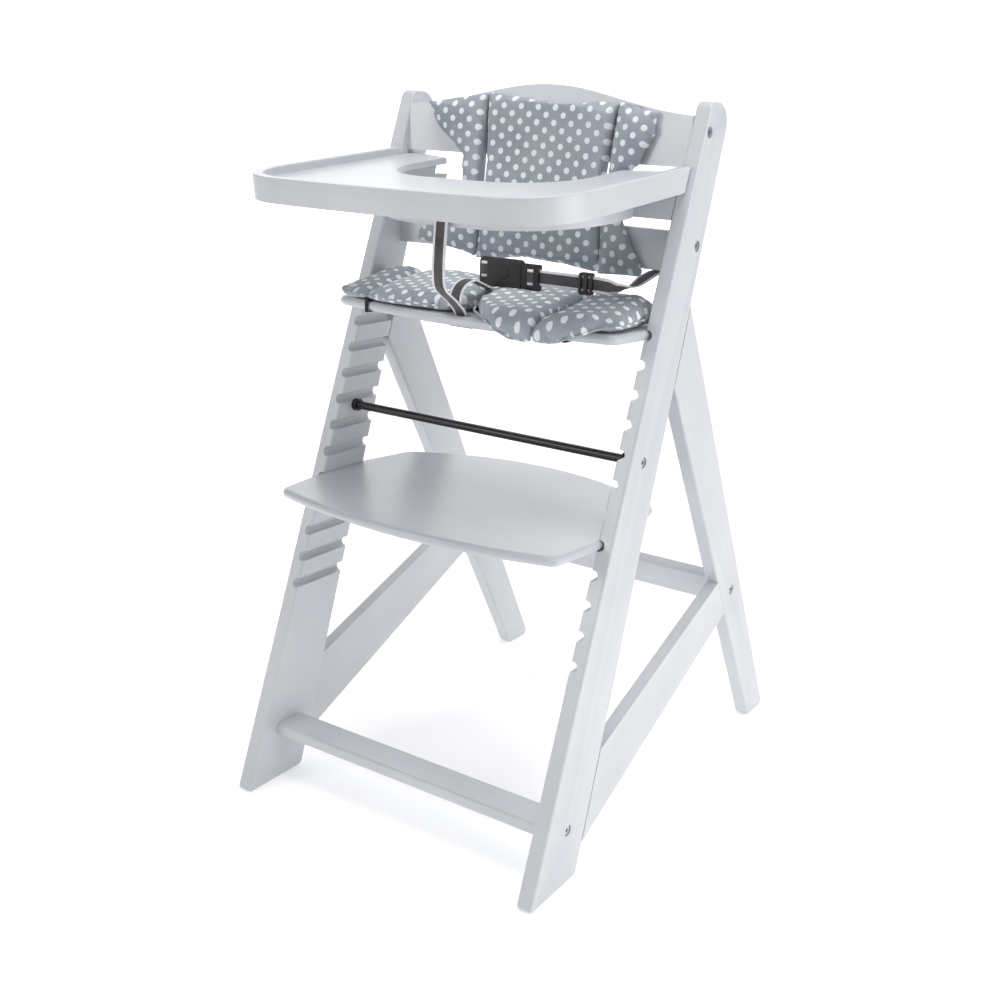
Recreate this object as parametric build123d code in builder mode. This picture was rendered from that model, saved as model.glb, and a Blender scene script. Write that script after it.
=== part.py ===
from build123d import *
from math import hypot
import os

# Baby high chair of painted wood.  Origin on the floor, under the middle of the overall width
# and depth.  +Z up, the child faces -Y, all sizes in mm.

# ---- Overall sizes -------------------------------------------------------------------------
overall_width = 480.0
post_height = 934.0
foot_length = 682.0          # front corner of a post foot to the heel of its rear leg
tray_balance = 8.51          # the tray reaches ahead of the feet, so the feet sit this far back

# ---- Posts and rear legs: each edge is a raked straight line ---------------------------------
post_thick = 21.0
post_foot_depth = 102.4
post_front_rake = 0.3621     # mm back per mm up
post_back_rake = 0.3130
post_round = 3.0
leg_foot_depth = 57.3
leg_front_rake = 0.5721      # mm forward per mm up
leg_back_rake = 0.5288
leg_round = 3.0

# ---- Side braces and crossbars ---------------------------------------------------------------
brace_thick = 17.0
brace_post_heights = (40.0, 150.5)
brace_leg_heights = (217.4, 273.0)
front_bar_low = 65.5
front_bar_thick = 15.5
front_bar_depth = 48.0
front_bar_setback = 28.0     # behind the post's front edge
rear_bar_centre = 248.0
rear_bar_height = 54.0
rear_bar_thick = 17.0

# ---- Backrest boards -------------------------------------------------------------------------
board_thick = 14.0
board_lean = 0.100           # mm back per mm up
board_setback = 42.0         # lower board behind the post's front edge
board_sag = 10.0             # how far the middle bends back
top_board_drop = 80.0        # post top down to the top board's lower edge
top_board_height = 62.0
top_board_arch = 32.0
board_gap = 77.0             # between the two boards
lower_board_height = 50.0

# ---- Grooves, seat and footboard -------------------------------------------------------------
step_thick = 12.5
groove_pitch = 34.75
groove_count = 12
groove_depth = 10.0
groove_clearance = 0.3
seat_below_board = 69.7      # lower board's lower edge down to the seat's middle
foot_groove = 4
side_clearance = 0.5
seat_reach = 60.0            # front corners ahead of the post's front edge
seat_bow = 28.0
seat_rear_reach = -10.0      # stops short of the rear legs, which close the grooves
seat_rear_bow = 12.0
foot_reach = 84.0
foot_bow = 32.0
foot_rear_reach = 84.0
foot_rear_bow = 66.0
seat_corner = 16.0
seat_rear_corner = 7.0
foot_rear_corner = 24.0
foot_rear_inset = 12.0       # rear corners inside the posts' inner faces
nose_inset = 4.0             # front corners inside the posts' inner faces
shoulder_inset = 40.0        # behind the post's front edge, where the full width begins
rear_shoulder_inset = 20.0   # ahead of the post's back edge, where it ends
step_round = 6.0             # nearly full-round edges, to sit in the half-round grooves
bar_round = 4.0

# ---- Tie rod ---------------------------------------------------------------------------------
rod_below_seat = 151.0
rod_setback = 33.0
rod_radius = 5.5
rod_collar_radius = 8.5
rod_collar_length = 7.0

# ---- Fasteners -------------------------------------------------------------------------------
bolt_radius = 3.0
bolt_reach = 42.0            # past the post's inner face
bolt_head_radius = 6.2
bolt_head_height = 4.0
socket_width = 5.0
socket_depth = 2.6
recess_radius = 7.0
recess_depth = 5.5
hole_clearance = 0.2
nut_radius = 5.0
nut_length = 8.0             # short enough to stay inside the curved boards
nut_inset = 30.0
dowel_radius = 3.0
dowel_half = 16.0

# ---- Tray ------------------------------------------------------------------------------------
tray_drop = 77.0             # post top down to the rim's top, at the post
tray_slope = 0.103
tray_length = 324.0
tray_side_inset = 9.0        # the rim inside the posts' outer faces
tray_corner = 88.0
tray_bow = 10.0
rim_height = 30.0
post_gap = 2.0
plate_drop = 10.0
plate_thick = 8.0
plate_side_gap = 0.6
horn_reach = 26.0
horn_inner_reach = -4.0
belly_half_width = 137.0
belly_reach = 168.0
belly_corner = 92.0

# ---- Guard bar and its blocks ----------------------------------------------------------------
guard_side_gap = 53.0
guard_reach = 190.0
guard_corner = 130.0
guard_thick = 16.0
guard_height = 45.0
guard_gap = 0.2
block_width = 69.0
block_depth = 28.0
block_height = 32.0
screw_radius = 2.2
screw_length = 48.0
screw_head_radius = 4.4
screw_head_height = 2.5

# ---- Harness ---------------------------------------------------------------------------------
web_width = 20.0
web_thick = 1.6
web_clearance = 0.4
slot_inset = 9.0
slot_depth = 14.0
slot_side = 3.0
buckle_drop = 15.0           # lower board's lower edge down to the buckle's middle
buckle_ahead = 8.0           # buckle's middle ahead of the post's front edge at the seat
button_offset = (6.0, 2.0)   # from the housing's middle
link_offset = 4.0            # link strap's middle to the right of the centre plane
link_slot_depth = 7.0
buckle_offset = 14.0         # housing's middle to the right of the centre plane
housing_size = (64.0, 12.0, 38.0)
tongue_size = (25.0, 9.0, 32.0)
prong_size = (12.0, 5.0, 14.0)
mouth_clearance = 0.3
button_radius = 8.0
button_travel = 2.0
button_depth = 5.0
adjuster_size = (19.0, 7.0, 27.0)
adjuster_x = 139.0
hook_side_gap = 22.0         # the waist strap's hook to the post, under the lower board
hook_clearance = 1.6
hook_rise = 36.0             # up the lower board's rear face

# ---- Cushions --------------------------------------------------------------------------------
pad_thick = 16.0
pad_gap = 0.5
pad_lift = 2.2               # room for the tie bands under the seat pad
pad_side_gap = 6.0
pad_slit = 17.0
pad_slit_depth = 26.0        # behind the slot's middle
pad_overhang = 10.0
pad_rear_inset = 12.0
back_pad_side_gap = 43.0
back_pad_waist = 131.0       # where the guard blocks and the tray's ends press it in
waist_margin = 6.0
back_pad_below = 5.0
back_pad_above = 12.0
tie_width = 5.0
tie_thick = 1.0
tie_x = 152.0
tie_length = 26.0
stop_bar_size = (34.0, 6.0, 2.0)
stop_bar_gap = 0.2

# ---- Places worked out from the sizes --------------------------------------------------------
outer_half = overall_width / 2
inner_half = outer_half - post_thick
foot_y = tray_balance - foot_length / 2
heel_y = tray_balance + foot_length / 2
top_board_low = post_height - top_board_drop
lower_board_low = top_board_low - board_gap - lower_board_height
seat_z = lower_board_low - seat_below_board
first_groove = seat_z - (groove_count - 1) * groove_pitch
groove_heights = [first_groove + index * groove_pitch for index in range(groove_count)]
footboard_z = groove_heights[foot_groove]
rod_z = seat_z - rod_below_seat
seat_top = seat_z + step_thick / 2


def post_front(z):
    return foot_y + post_front_rake * z


def post_back(z):
    return foot_y + post_foot_depth + post_back_rake * z


def leg_front(z):
    return heel_y - leg_foot_depth - leg_front_rake * z


def leg_back(z):
    return heel_y - leg_back_rake * z


def leg_meets_post(inset, rake):
    """Height at which a leg edge, starting this far ahead of the heel, reaches the post."""
    return (heel_y - inset - foot_y - post_foot_depth) / (rake + post_back_rake)


board_mid_z = lower_board_low + lower_board_height / 2
board_base_y = post_front(board_mid_z) + board_setback


def board_front(z):
    return board_base_y + board_lean * (z - board_mid_z)


top_bolt_z = top_board_low + top_board_height * 0.7
low_bolt_z = board_mid_z + 9.0
rod_y = post_front(rod_z) + rod_setback
front_bar_z = front_bar_low + front_bar_thick / 2
front_bar_y = post_front(front_bar_z) + front_bar_setback + front_bar_depth / 2
rear_bar_y = (leg_front(rear_bar_centre) + leg_back(rear_bar_centre)) / 2
front_bolt = (front_bar_y, front_bar_z)
rear_bolt = (rear_bar_y, rear_bar_centre)
rod_bolt = (rod_y, rod_z)
top_bolt = (board_front(top_bolt_z) + board_thick / 2, top_bolt_z)
low_bolt = (board_front(low_bolt_z) + board_thick / 2, low_bolt_z)
post_bolts = (top_bolt, low_bolt, rod_bolt, front_bolt)
board_bolts = (top_bolt, low_bolt, front_bolt, rear_bolt)

parts_made = []
os.makedirs("parts", exist_ok=True)


def save(piece, name):
    piece.label = name
    export_step(piece, "parts/" + name + ".step")
    parts_made.append(name)


def side_name(side):
    return "right" if side > 0 else "left"


def outline(plane, points, corners=()):
    """Closed face through the points on a plane, with (index, radius) rounded corners."""
    with BuildSketch(plane) as face:
        with BuildLine():
            Polyline(*points, close=True)
        make_face()
        for index, radius in corners:
            nearest = face.vertices().sort_by_distance(Vector(*points[index]))[0]
            fillet(nearest, radius=radius)
    return face.sketch


def disc(plane, places, radius):
    with BuildSketch(plane) as face:
        with Locations(*places):
            Circle(radius)
    return face.sketch


def slab_plane(side, thick):
    """Plane whose extrusion by `thick` along +X ends flush with this side's outer face."""
    start = outer_half - thick if side > 0 else -outer_half
    return Plane.YZ.offset(start)


# ---- Posts -----------------------------------------------------------------------------------
leg_low_z = leg_meets_post(leg_foot_depth, leg_front_rake)
leg_high_z = leg_meets_post(0.0, leg_back_rake)
leg_dowel_heights = [leg_low_z + share * (leg_high_z - leg_low_z) for share in (0.28, 0.72)]
brace_post_dowels = [brace_post_heights[0] + 30.0, brace_post_heights[1] - 30.0]
brace_leg_dowels = [sum(brace_leg_heights) / 2]


def dowel_planes(side):
    """Planes at the middle of each dowel of one side, with the plane's normal along the dowel."""
    leg_x = side * (outer_half - (post_thick - groove_depth) / 2)
    brace_x = side * (outer_half - brace_thick / 2)
    post_normal = Vector(0, 1, -post_back_rake)
    leg_normal = Vector(0, 1, leg_front_rake)
    planes = [Plane(Vector(leg_x, post_back(z), z), z_dir=post_normal) for z in leg_dowel_heights]
    planes += [Plane(Vector(brace_x, post_back(z), z), z_dir=post_normal) for z in brace_post_dowels]
    planes += [Plane(Vector(brace_x, leg_front(z), z), z_dir=leg_normal) for z in brace_leg_dowels]
    return planes


def cut_dowel_holes(side):
    for plane in dowel_planes(side):
        extrude(disc(plane, [(0, 0)], dowel_radius), amount=dowel_half, both=True, mode=Mode.SUBTRACT)


def cut_bolt_holes(side, points):
    """Round recess for the head in the outer face, and a clearance hole right through."""
    face = Plane.YZ.offset(side * outer_half)
    recesses = disc(face, points, recess_radius)
    holes = disc(face, points, bolt_radius + hole_clearance)
    extrude(recesses, amount=-side * recess_depth, mode=Mode.SUBTRACT)
    extrude(holes, amount=-side * post_thick, mode=Mode.SUBTRACT)


for side in (-1, 1):
    with BuildPart() as post:
        corners = [
            (post_front(0), 0),
            (post_back(0), 0),
            (post_back(post_height), post_height),
            (post_front(post_height), post_height),
        ]
        rounds = ((0, 5.0), (1, 8.0), (2, 26.0), (3, 14.0))
        extrude(outline(slab_plane(side, post_thick), corners, rounds), amount=post_thick)
        fillet(post.faces().filter_by(Axis.X).edges(), radius=post_round)
        with BuildSketch(Plane.XZ):
            with Locations(*[(side * inner_half, z) for z in groove_heights]):
                SlotOverall(2 * groove_depth, step_thick + 2 * groove_clearance)
        extrude(amount=foot_length, both=True, mode=Mode.SUBTRACT)
        cut_bolt_holes(side, post_bolts)
        cut_dowel_holes(side)
    save(post.part, side_name(side) + "_post")

    with BuildPart() as leg:
        corners = [
            (leg_front(0), 0),
            (leg_back(0), 0),
            (leg_back(leg_high_z), leg_high_z),
            (leg_front(leg_low_z), leg_low_z),
        ]
        rounds = ((0, 10.0), (1, 8.0))
        extrude(outline(slab_plane(side, post_thick), corners, rounds), amount=post_thick)
        long_edges = leg.faces().filter_by(Axis.X).edges()
        fillet([e for e in long_edges if e.center().Z < leg_low_z * 0.9], radius=leg_round)
        cut_bolt_holes(side, [rear_bolt])
        cut_dowel_holes(side)
    save(leg.part, side_name(side) + "_rear_leg")

    with BuildPart() as brace:
        corners = [
            (post_back(brace_post_heights[0]), brace_post_heights[0]),
            (post_back(brace_post_heights[1]), brace_post_heights[1]),
            (leg_front(brace_leg_heights[1]), brace_leg_heights[1]),
            (leg_front(brace_leg_heights[0]), brace_leg_heights[0]),
        ]
        extrude(outline(slab_plane(side, brace_thick), corners), amount=brace_thick)
        cut_dowel_holes(side)
    save(brace.part, side_name(side) + "_side_brace")

with BuildPart() as dowels:
    for side in (-1, 1):
        for plane in dowel_planes(side):
            with BuildSketch(plane):
                Circle(dowel_radius)
            extrude(amount=dowel_half, both=True)
save(dowels.part, "wooden_dowels")


# ---- Crossbars -------------------------------------------------------------------------------
def cut_end_holes(place, nut_direction):
    """Bolt hole and crossing nut hole in both ends of the open board."""
    for side in (-1, 1):
        bore = disc(Plane.YZ.offset(side * inner_half), [place], bolt_radius)
        cross = disc(nut_plane(side, place, nut_direction), [(0, 0)], nut_radius)
        extrude(bore, amount=-side * bolt_reach, mode=Mode.SUBTRACT)
        extrude(cross, amount=nut_length / 2, both=True, mode=Mode.SUBTRACT)


def nut_plane(side, place, nut_direction):
    return Plane(Vector(side * (inner_half - nut_inset), *place), z_dir=nut_direction)


rear_bar_lean = Vector(0, -(leg_front_rake + leg_back_rake) / 2, 1).normalized()
rear_bar_normal = Vector(0, rear_bar_lean.Z, -rear_bar_lean.Y)
board_normal = Vector(0, 1, -board_lean).normalized()
upright = Vector(0, 0, 1)
nut_directions = (board_normal, board_normal, upright, rear_bar_normal)

with BuildPart() as front_bar:
    with BuildSketch(Plane.YZ.offset(-inner_half)):
        with Locations((front_bar_y, front_bar_z)):
            Rectangle(front_bar_depth, front_bar_thick)
        fillet(vertices(), radius=bar_round)
    extrude(amount=2 * inner_half)
    cut_end_holes(front_bolt, upright)
save(front_bar.part, "front_crossbar")

with BuildPart() as rear_bar:
    with BuildSketch(Plane(Vector(-inner_half, *rear_bolt), x_dir=rear_bar_normal, z_dir=(1, 0, 0))):
        Rectangle(rear_bar_thick, rear_bar_height)
        fillet(vertices(), radius=bar_round)
    extrude(amount=2 * inner_half)
    cut_end_holes(rear_bolt, rear_bar_normal)
save(rear_bar.part, "rear_crossbar")


# ---- Backrest boards -------------------------------------------------------------------------
def curved_board(low, height, arch, place, name):
    lean = Vector(0, board_lean, 1).normalized()
    with BuildPart() as board:
        with BuildSketch(Plane(Vector(0, board_front(low), low), x_dir=(1, 0, 0), z_dir=lean)):
            with BuildLine():
                ThreePointArc((-inner_half, 0), (0, board_sag), (inner_half, 0))
                Line((inner_half, 0), (inner_half, board_thick))
                ThreePointArc((inner_half, board_thick), (0, board_sag + board_thick),
                              (-inner_half, board_thick))
                Line((-inner_half, board_thick), (-inner_half, 0))
            make_face()
        extrude(amount=1.2 * (height + arch))
        with BuildSketch(Plane.XZ.offset(-foot_length)):
            with BuildLine():
                if arch > 0:
                    Polyline((-inner_half, low + height), (-inner_half, low), (inner_half, low),
                             (inner_half, low + height))
                    Spline((inner_half, low + height), (0, low + height + arch),
                           (-inner_half, low + height),
                           tangents=((-1, 0.05), (-1, 0), (-1, -0.05)))
                else:
                    Polyline((-inner_half, low + height), (-inner_half, low), (inner_half, low),
                             (inner_half, low + height), close=True)
            make_face()
        extrude(amount=2 * foot_length, mode=Mode.INTERSECT)
        cut_end_holes(place, board_normal)
    save(board.part, name)


curved_board(top_board_low, top_board_height, top_board_arch, top_bolt, "top_backrest_board")
curved_board(lower_board_low, lower_board_height, 0.0, low_bolt, "lower_backrest_board")


# ---- Tie rod ---------------------------------------------------------------------------------
with BuildPart() as rod:
    with BuildSketch(Plane.YZ.offset(-inner_half)):
        with Locations(rod_bolt):
            Circle(rod_radius)
    extrude(amount=2 * inner_half)
    for side in (-1, 1):
        with BuildSketch(Plane.YZ.offset(side * inner_half)):
            with Locations(rod_bolt):
                Circle(bolt_radius)
        extrude(amount=-side * bolt_reach, mode=Mode.SUBTRACT)
save(rod.part, "tie_rod")

with BuildPart() as collars:
    for side in (-1, 1):
        with BuildSketch(Plane.YZ.offset(side * inner_half)):
            with Locations(rod_bolt):
                Circle(rod_collar_radius)
                Circle(rod_radius, mode=Mode.SUBTRACT)
        extrude(amount=-side * rod_collar_length)
save(collars.part, "rod_collars")


# ---- Bolts and barrel nuts -------------------------------------------------------------------
head_seat = outer_half - recess_depth
bolt_end = inner_half - bolt_reach

with BuildPart() as bolts:
    for side in (-1, 1):
        for place in (*post_bolts, rear_bolt):
            with BuildSketch(Plane.YZ.offset(side * head_seat)):
                with Locations(place):
                    Circle(bolt_head_radius)
            extrude(amount=side * bolt_head_height)
            with BuildSketch(Plane.YZ.offset(side * (head_seat + bolt_head_height))):
                with Locations(place):
                    RegularPolygon(socket_width / 2, 6, major_radius=False)
            extrude(amount=-side * socket_depth, mode=Mode.SUBTRACT)
            with BuildSketch(Plane.YZ.offset(side * head_seat)):
                with Locations(place):
                    Circle(bolt_radius)
            extrude(amount=-side * (head_seat - bolt_end))
save(bolts.part, "socket_bolts")

with BuildPart() as nuts:
    for side in (-1, 1):
        for place, direction in zip(board_bolts, nut_directions):
            with BuildSketch(nut_plane(side, place, direction)):
                Circle(nut_radius)
            extrude(amount=nut_length / 2, both=True)
            with BuildSketch(Plane.YZ.offset(side * inner_half)):
                with Locations(place):
                    Circle(bolt_radius)
            extrude(amount=-side * bolt_reach, mode=Mode.SUBTRACT)
save(nuts.part, "barrel_nuts")


# ---- Seat board and footboard ----------------------------------------------------------------
groove_half = inner_half + groove_depth - side_clearance
nose_half = inner_half - nose_inset


def step_outline(z, reach, bow, rear_reach, rear_bow, rear_half, rear_corner):
    """Plan of a board that narrows ahead of the posts, with bowed front and rear edges."""
    front = post_front(z) - reach
    rear = post_back(z) + rear_reach
    shoulder = post_front(z) + shoulder_inset
    rear_shoulder = post_back(z) - rear_shoulder_inset
    plan_z = z - step_thick / 2
    with BuildSketch(Plane.XY.offset(plan_z)) as plan:
        with BuildLine():
            ThreePointArc((-nose_half, front), (0, front - bow), (nose_half, front))
            Line((nose_half, front), (groove_half, shoulder))
            Line((groove_half, shoulder), (groove_half, rear_shoulder))
            Line((groove_half, rear_shoulder), (rear_half, rear))
            ThreePointArc((rear_half, rear), (0, rear + rear_bow), (-rear_half, rear))
            Line((-rear_half, rear), (-groove_half, rear_shoulder))
            Line((-groove_half, rear_shoulder), (-groove_half, shoulder))
            Line((-groove_half, shoulder), (-nose_half, front))
        make_face()
        for x, y, radius in ((nose_half, front, seat_corner), (rear_half, rear, rear_corner)):
            for side in (-1, 1):
                corner = plan.vertices().sort_by_distance(Vector(side * x, y, plan_z))[0]
                fillet(corner, radius=radius)
    return plan.sketch


slot_y = post_front(seat_z) - seat_reach - seat_bow + slot_inset + slot_depth / 2

with BuildPart() as seat:
    plan = step_outline(seat_z, seat_reach, seat_bow, seat_rear_reach, seat_rear_bow, groove_half,
                        seat_rear_corner)
    extrude(plan, amount=step_thick)
    fillet(seat.faces().filter_by(Axis.Z).edges(), radius=step_round)
    with BuildSketch(Plane.XY.offset(seat_top)):
        with Locations((0, slot_y)):
            RectangleRounded(web_width + 2 * slot_side, slot_depth, 3.0)
    extrude(amount=-step_thick, mode=Mode.SUBTRACT)
save(seat.part, "seat_board")

with BuildPart() as footboard:
    plan = step_outline(footboard_z, foot_reach, foot_bow, foot_rear_reach, foot_rear_bow,
                        inner_half - foot_rear_inset, foot_rear_corner)
    extrude(plan, amount=step_thick)
    fillet(footboard.faces().filter_by(Axis.Z).edges(), radius=step_round)
save(footboard.part, "footboard")


# ---- Tray: drawn in its own sloping plane, whose origin is on the post's front edge ------------
rim_top = post_height - tray_drop
slope_length = hypot(1.0, tray_slope)
tray_back = Vector(0, 1 / slope_length, tray_slope / slope_length)
tray_up = Vector(0, -tray_slope / slope_length, 1 / slope_length)
tray_origin = Vector(0, post_front(rim_top), rim_top)
tray_half_width = outer_half - tray_side_inset
tray_inner = inner_half - plate_side_gap
rim_thick = tray_half_width - tray_inner


def tray_plane(drop):
    return Plane(tray_origin - tray_up * drop, x_dir=(1, 0, 0), z_dir=tray_up)


def bowed_outline(drop, half_width, front, back, corner, bow):
    """Tray plan: straight sides, round front corners, and a front edge that bows out."""
    with BuildSketch(tray_plane(drop)) as plan:
        with BuildLine():
            Line((half_width, front + bow), (half_width, back))
            Line((half_width, back), (-half_width, back))
            Line((-half_width, back), (-half_width, front + bow))
            ThreePointArc((-half_width, front + bow), (0, front), (half_width, front + bow))
        make_face()
        front_corners = plan.vertices().group_by(Axis.Y)[0]
        fillet(front_corners, radius=corner)
    return plan.sketch


def u_outline(drop, half_width, reach, corner, back):
    """U-shaped plan with round front corners, from `reach` ahead of the posts to `back` behind."""
    with BuildSketch(tray_plane(drop)) as plan:
        with BuildLine():
            FilletPolyline((-half_width, back), (-half_width, -reach), (half_width, -reach),
                           (half_width, back), radius=corner)
            Line((half_width, back), (-half_width, back))
        make_face()
    return plan.sketch


def behind_post_line(gap):
    """Cuts away everything behind a line that runs this far ahead of the post's front edge."""
    low = rim_top - 200.0
    high = rim_top + 100.0
    region = outline(Plane.YZ.offset(-outer_half), [
        (post_front(low) - gap, low),
        (post_front(low) + foot_length, low),
        (post_front(high) + foot_length, high),
        (post_front(high) - gap, high),
    ])
    extrude(region, amount=overall_width, mode=Mode.SUBTRACT)


inner_front = rim_thick - tray_length
inner_corner = tray_corner - rim_thick

with BuildPart() as rim:
    outer_plan = bowed_outline(0, tray_half_width, -tray_length, 40.0, tray_corner, tray_bow)
    inner_plan = bowed_outline(0, tray_inner, inner_front, 60.0, inner_corner, tray_bow)
    extrude(outer_plan, amount=-rim_height)
    extrude(inner_plan, amount=-rim_height, mode=Mode.SUBTRACT)
    behind_post_line(post_gap)
    tray_axis = Axis(tray_origin, tray_up)
    fillet(rim.faces().sort_by(tray_axis)[-1].edges(), radius=2.0)
save(rim.part, "tray_rim")

with BuildPart() as plate:
    plan = bowed_outline(plate_drop, tray_inner, inner_front, horn_inner_reach, inner_corner, tray_bow)
    horns = outline(tray_plane(plate_drop), [
        (-tray_inner, horn_inner_reach - 1.0),
        (tray_inner, horn_inner_reach - 1.0),
        (tray_inner, horn_reach),
        (belly_half_width, horn_inner_reach),
        (-belly_half_width, horn_inner_reach),
        (-tray_inner, horn_reach),
    ])
    belly = u_outline(plate_drop, belly_half_width, belly_reach, belly_corner, 60.0)
    extrude(plan, amount=-plate_thick)
    extrude(horns, amount=-plate_thick)
    extrude(belly, amount=-plate_thick, mode=Mode.SUBTRACT)
save(plate.part, "tray_plate")


# ---- Guard bar, its blocks and screws --------------------------------------------------------
guard_half_width = inner_half - guard_side_gap
block_inner = inner_half - block_width
guard_drop = plate_drop + plate_thick + guard_gap
guard_mid_v = -guard_reach + guard_thick / 2
notch_depth = web_thick + 2 * web_clearance
block_low = rim_top - (guard_drop + guard_height) * slope_length - 1.0
block_mid_z = block_low + block_height / 2
screw_x = guard_half_width - guard_thick / 2

with BuildPart() as guard:
    guard_inner = guard_half_width - guard_thick
    guard_inner_reach = guard_reach - guard_thick
    guard_inner_corner = guard_corner - guard_thick
    outer_plan = u_outline(guard_drop, guard_half_width, guard_reach, guard_corner, 60.0)
    inner_plan = u_outline(guard_drop, guard_inner, guard_inner_reach, guard_inner_corner, 60.0)
    extrude(outer_plan, amount=-guard_height)
    extrude(inner_plan, amount=-guard_height, mode=Mode.SUBTRACT)
    behind_post_line(0.0)
    with BuildSketch(tray_plane(guard_drop)):
        with Locations((0, guard_mid_v)):
            Rectangle(web_width + 2.0, 2 * guard_thick)
    extrude(amount=-notch_depth, mode=Mode.SUBTRACT)
    screw_plane = Plane.XZ.offset(-post_front(block_mid_z))
    screw_places = [(-screw_x, block_mid_z), (screw_x, block_mid_z)]
    pilot = disc(screw_plane, screw_places, screw_radius)
    extrude(pilot, amount=screw_length - block_depth, both=True, mode=Mode.SUBTRACT)
save(guard.part, "guard_bar")

for side in (-1, 1):
    with BuildPart() as block:
        start = block_inner if side > 0 else -inner_half
        block_high = block_low + block_height
        profile = outline(Plane.YZ.offset(start), [
            (post_front(block_low), block_low),
            (post_front(block_low) + block_depth, block_low),
            (post_front(block_high) + block_depth, block_high),
            (post_front(block_high), block_high),
        ])
        extrude(profile, amount=block_width)
        hole = disc(screw_plane, [(side * screw_x, block_mid_z)], screw_radius)
        extrude(hole, amount=2 * block_depth, both=True, mode=Mode.SUBTRACT)
    save(block.part, side_name(side) + "_guard_block")

screw_back = post_front(block_mid_z) + block_depth + post_front_rake * screw_head_radius
with BuildPart() as screws:
    seat_plane = Plane.XZ.offset(-screw_back)
    extrude(disc(seat_plane, screw_places, screw_head_radius), amount=-screw_head_height)
    extrude(disc(seat_plane, screw_places, screw_radius), amount=screw_length)
save(screws.part, "guard_screws")


# ---- Harness ---------------------------------------------------------------------------------
def band(points, width, centre, radius):
    """Flat strap: a line of straight runs and round bends in the side plane, given a width."""
    with BuildSketch(Plane.YZ.offset(centre - width / 2)) as side_view:
        with BuildLine():
            FilletPolyline(*points, radius=radius)
        trace(line_width=web_thick)
    extrude(side_view.sketch, amount=width)


def tray_point(v, w):
    place = tray_origin + tray_back * v + tray_up * w
    return (place.Y, place.Z)


web_off = web_clearance + web_thick / 2
loop_front = -guard_reach - web_off
loop_rear = -guard_reach + guard_thick + web_off
loop_top = -guard_drop - notch_depth + web_off
loop_low = -guard_drop - guard_height - web_off
hang_top = tray_point(loop_front, loop_low)
seat_entry = (slot_y, seat_top + 2.0)
stop_bar_top = seat_z - step_thick / 2 - stop_bar_gap
drop_height = hang_top[1] - seat_entry[1]
hang_low = (hang_top[0] - 3.0, seat_entry[1] + 0.42 * drop_height)
bend_low = (seat_entry[0] - 14.0, seat_entry[1] + 0.085 * drop_height)

with BuildPart() as crotch_strap:
    loop = [tray_point(loop_front, loop_low - 6.0), tray_point(loop_front, loop_top),
            tray_point(loop_rear, loop_top), tray_point(loop_rear, loop_low),
            tray_point(loop_front + web_thick, loop_low)]
    band(loop, web_width, 0.0, 1.0)
    hang = [tray_point(loop_front, loop_low), hang_low, bend_low, seat_entry,
            (slot_y, stop_bar_top - stop_bar_size[2] / 2)]
    band(hang, web_width, 0.0, 3.0)
save(crotch_strap.part, "crotch_strap")

with BuildPart() as stop_bar:
    with BuildSketch(Plane.XY.offset(stop_bar_top)):
        with Locations((0, slot_y)):
            RectangleRounded(stop_bar_size[0], stop_bar_size[1], 1.5)
    extrude(amount=-stop_bar_size[2])
    with BuildSketch(Plane.XY.offset(stop_bar_top)):
        with Locations((0, slot_y)):
            Rectangle(web_width, web_thick)
    extrude(amount=-stop_bar_size[2] / 2, mode=Mode.SUBTRACT)
save(stop_bar.part, "strap_stop_bar")

buckle_z = lower_board_low - buckle_drop
buckle_y = post_front(seat_z) - buckle_ahead
housing_length, housing_depth, housing_height = housing_size
tongue_length, tongue_depth, tongue_height = tongue_size
prong_length, prong_depth, prong_height = prong_size
housing_right = buckle_offset + housing_length / 2
buckle_front = buckle_y - housing_depth / 2
housing_low = buckle_z - housing_height / 2
button_place = (buckle_offset + button_offset[0], buckle_z + button_offset[1])

with BuildPart() as link_strap:
    link = [(bend_low[0] + 9.0, bend_low[1] + 1.5), (slot_y - 3.0, seat_top + 33.0),
            (slot_y + 12.0, seat_top + 45.0), (slot_y + 34.0, seat_top + 33.0),
            (buckle_y - 5.0, housing_low - 7.0), (buckle_y, housing_low - 3.0),
            (buckle_y, housing_low + link_slot_depth - web_clearance)]
    band(link, web_width, link_offset, 1.5)
save(link_strap.part, "link_strap")

with BuildPart() as housing:
    with BuildSketch(Plane.XZ.offset(-buckle_y - housing_depth / 2)):
        with Locations((buckle_offset, buckle_z)):
            RectangleRounded(housing_length, housing_height, 6.0)
    extrude(amount=housing_depth)
    fillet(housing.faces().filter_by(Axis.Y).edges(), radius=2.0)
    with BuildSketch(Plane.XZ.offset(-buckle_front)):
        with Locations(button_place):
            Circle(button_radius + hole_clearance)
    extrude(amount=-(button_depth + button_travel), mode=Mode.SUBTRACT)
    with BuildSketch(Plane.YZ.offset(housing_right)):
        with Locations((buckle_y, buckle_z)):
            Rectangle(prong_depth + 2 * mouth_clearance, prong_height + 2 * mouth_clearance)
    extrude(amount=-prong_length - mouth_clearance, mode=Mode.SUBTRACT)
    with BuildSketch(Plane.XY.offset(housing_low)):
        with Locations((link_offset, buckle_y)):
            Rectangle(web_width + 2 * web_clearance, web_thick + 2 * web_clearance)
    extrude(amount=link_slot_depth, mode=Mode.SUBTRACT)
save(housing.part, "buckle_housing")

with BuildPart() as button:
    with BuildSketch(Plane.XZ.offset(-buckle_front + 0.8)):
        with Locations(button_place):
            Circle(button_radius)
    extrude(amount=-button_depth)
    fillet(button.faces().sort_by(Axis.Y)[0].edges(), radius=0.6)
save(button.part, "buckle_button")

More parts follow.
